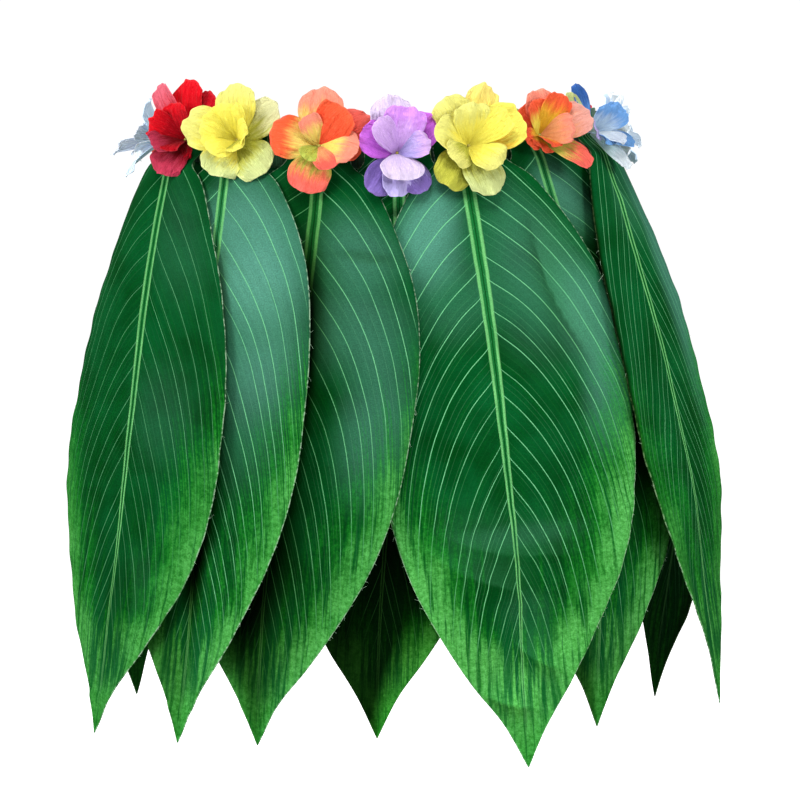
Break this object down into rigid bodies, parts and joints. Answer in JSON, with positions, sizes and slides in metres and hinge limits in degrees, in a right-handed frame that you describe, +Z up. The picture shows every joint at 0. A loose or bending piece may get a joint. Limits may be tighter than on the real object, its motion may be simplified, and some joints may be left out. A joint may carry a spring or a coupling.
{
  "type": "hula skirt",
  "caption": "Hula skirt worn at the waist: an elastic waistband, broad pointed leaf blades that overlap as they hang, and a ruffled cloth flower on the base of each blade.",
  "frame": {"origin": "middle of the ring that the waistband makes, where the wearer holds the skirt", "axes": "+Z up, out of the waist opening; the front of the skirt faces -Y; +X is the viewer's right from the front"},
  "size_m": [0.4081, 0.3054, 0.4094],
  "materials": {
    "waistband": "matt elastic webbing",
    "leaf": "printed satin cloth with a soft sheen",
    "petals_red": "thin pleated petal cloth, dyed in a gradient",
    "petals_yellow": "thin pleated petal cloth, dyed in a gradient",
    "petals_orange": "thin pleated petal cloth, dyed in a gradient",
    "petals_purple": "thin pleated petal cloth, dyed in a gradient",
    "petals_gold": "thin pleated petal cloth, dyed in a gradient",
    "petals_flame": "thin pleated petal cloth, dyed in a gradient",
    "petals_blue": "thin pleated petal cloth, dyed in a gradient",
    "petals_pale_blue": "thin pleated petal cloth, dyed in a gradient"
  },
  "bodies": {
    "root": {"waistband": "waistband", "leaf_01": "leaf", "leaf_02": "leaf", "leaf_03": "leaf", "leaf_04": "leaf", "leaf_05": "leaf", "leaf_06": "leaf", "leaf_07": "leaf", "leaf_08": "leaf", "leaf_09": "leaf", "leaf_10": "leaf", "leaf_11": "leaf", "leaf_12": "leaf", "leaf_13": "leaf", "leaf_14": "leaf", "leaf_15": "leaf", "petals_outer_01": "petals_red", "petals_inner_01": "petals_red", "petals_outer_02": "petals_yellow", "petals_inner_02": "petals_yellow", "petals_outer_03": "petals_orange", "petals_inner_03": "petals_orange", "petals_outer_04": "petals_purple", "petals_inner_04": "petals_purple", "petals_outer_05": "petals_gold", "petals_inner_05": "petals_gold", "petals_outer_06": "petals_flame", "petals_inner_06": "petals_flame", "petals_outer_07": "petals_blue", "petals_inner_07": "petals_blue", "petals_outer_08": "petals_pale_blue", "petals_inner_08": "petals_pale_blue", "petals_outer_09": "petals_red", "petals_inner_09": "petals_red", "petals_outer_10": "petals_yellow", "petals_inner_10": "petals_yellow", "petals_outer_11": "petals_orange", "petals_inner_11": "petals_orange", "petals_outer_12": "petals_purple", "petals_inner_12": "petals_purple", "petals_outer_13": "petals_gold", "petals_inner_13": "petals_gold", "petals_outer_14": "petals_flame", "petals_inner_14": "petals_flame", "petals_outer_15": "petals_blue", "petals_inner_15": "petals_blue"}
  },
  "joints": []
}
